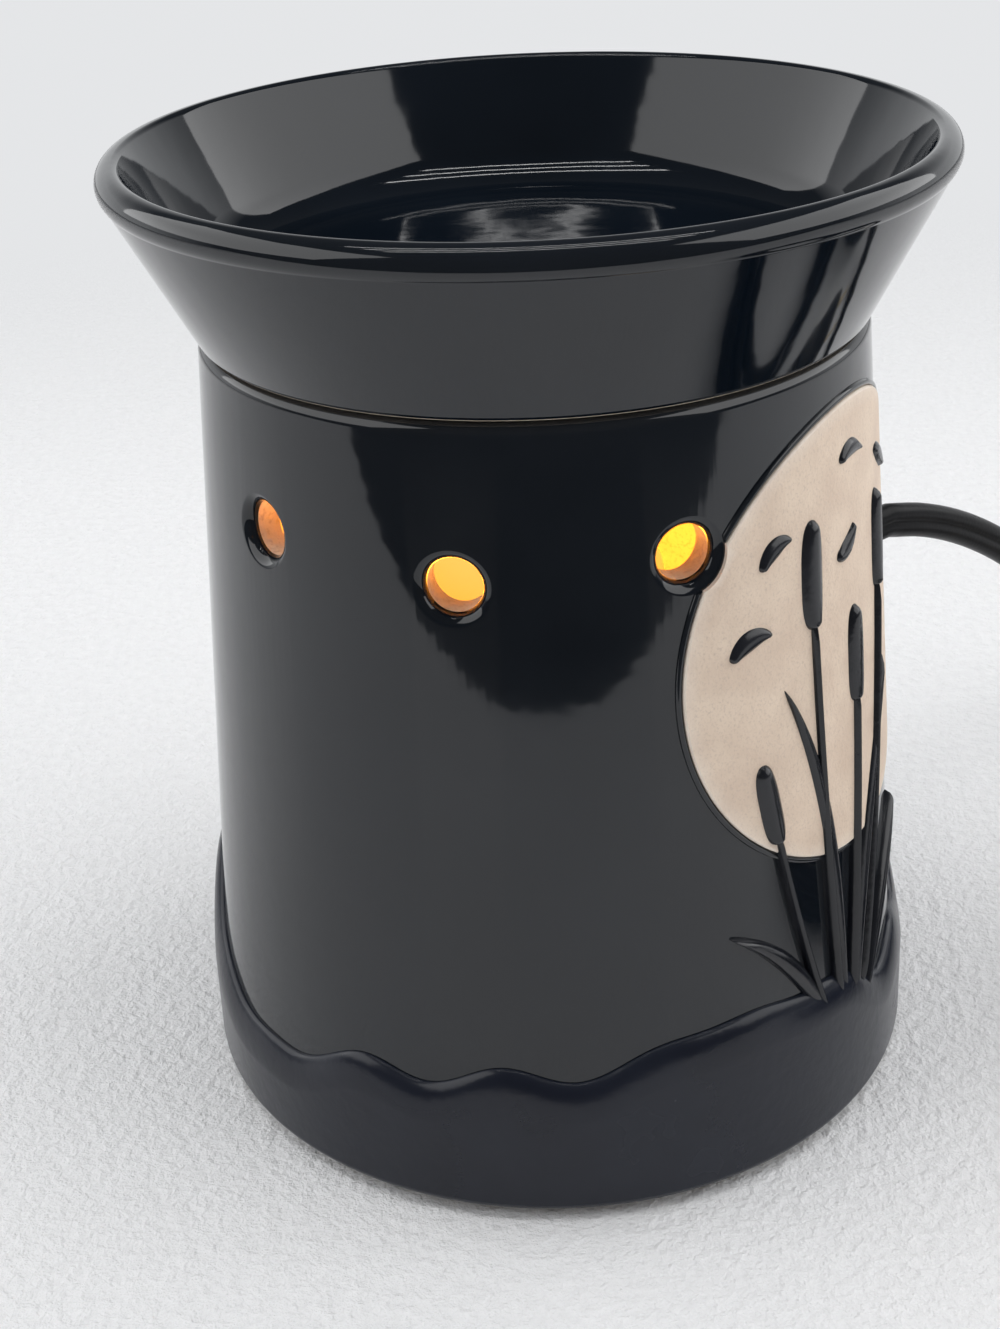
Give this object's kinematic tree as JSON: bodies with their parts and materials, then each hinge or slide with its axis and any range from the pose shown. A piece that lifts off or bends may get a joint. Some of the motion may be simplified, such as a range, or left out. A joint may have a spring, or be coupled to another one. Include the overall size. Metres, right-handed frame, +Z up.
{
  "type": "electric wax warmer",
  "caption": "Tapered ceramic lamp body with light holes and low relief, a lift-off wax dish over a screw-in bulb, and a mains lead with a thumbwheel switch and plug.",
  "frame": {"origin": "on the floor under the middle of the ceramic body, without the lead and what is on it", "axes": "+Z up along the body's turned axis; -Y is the side seen from the front, +X to its right"},
  "size_m": [0.2675, 0.1743, 0.1519],
  "materials": {
    "body_glaze": "glossy black glaze, satin navy black on the hills along the foot, with a pale matte disc on the front",
    "dish_glaze": "glossy black glaze",
    "bulb_glass": "frosted, lit from inside",
    "stem_glass": "clear",
    "filament_wire": "drawn wire",
    "cap_metal": "rolled thread, satin",
    "cap_insulator": "dark glass insulator with a solder tip",
    "holder_plastic": "moulded phenolic",
    "brass": "stamped, slightly dulled",
    "zinc_steel": "zinc plated",
    "plate_steel": "black powder coat",
    "pad_rubber": "matt",
    "wire_sleeve": "heatproof sleeve",
    "cord_vinyl": "black twin lead, satin",
    "tie_strap": "hook and loop strap",
    "switch_plastic": "moulded, fine texture",
    "wheel_plastic": "moulded, ribbed rim",
    "plug_vinyl": "moulded black vinyl, satin"
  },
  "bodies": {
    "root": {"ceramic_body": "body_glaze", "base_plate": "plate_steel", "plate_screw_1": "zinc_steel", "plate_screw_2": "zinc_steel", "foot_pad_1": "pad_rubber", "foot_pad_2": "pad_rubber", "foot_pad_3": "pad_rubber", "foot_pad_4": "pad_rubber", "socket_bridge": "zinc_steel", "socket_nipple": "zinc_steel", "socket_nut": "zinc_steel", "socket_body": "holder_plastic", "socket_shell": "brass", "socket_tongue": "brass", "terminal_screw_1": "brass", "terminal_screw_2": "brass", "lead_wire_1": "wire_sleeve", "lead_wire_2": "wire_sleeve", "cord_relief": "cord_vinyl", "cord_lead": "cord_vinyl", "cord_tail": "cord_vinyl", "cord_coil": "cord_vinyl", "cord_tie": "tie_strap", "switch_base": "switch_plastic", "switch_cover": "switch_plastic", "switch_contact_1": "brass", "switch_contact_2": "brass", "switch_screw_1": "zinc_steel", "switch_screw_2": "zinc_steel", "plug_body": "plug_vinyl", "plug_blade_1": "brass", "plug_blade_2": "brass"},
    "dish": {"wax_dish": "dish_glaze"},
    "bulb_lift": {"bulb_contact": "cap_insulator"},
    "bulb": {"bulb_glass": "bulb_glass", "bulb_cap": "cap_metal", "bulb_stem": "stem_glass", "bulb_filament": "filament_wire"},
    "thumbwheel": {"switch_wheel": "wheel_plastic"}
  },
  "joints": [
    {"name": "dish_lift", "type": "slide", "parent": "root", "child": "dish", "axis": [0, 0, 1], "range_m": [0, 0.06]},
    {"name": "bulb_rise", "type": "slide", "parent": "root", "child": "bulb_lift", "axis": [0, 0, 1], "range_m": [0, 0.0127]},
    {"name": "bulb_turn", "type": "hinge", "parent": "bulb_lift", "child": "bulb", "pos_m": [0, 0, 0.0375], "axis": [0, 0, 1], "range_deg": [0, 1620]},
    {"name": "switch_turn", "type": "hinge", "parent": "root", "child": "thumbwheel", "pos_m": [0.192, 0.034, 0.009], "axis": [0, 0, 1], "continuous": true}
  ],
  "couplings": [
    {"joint": "bulb_rise", "follows": "bulb_turn", "m_per_rad": 0.00044882}
  ]
}
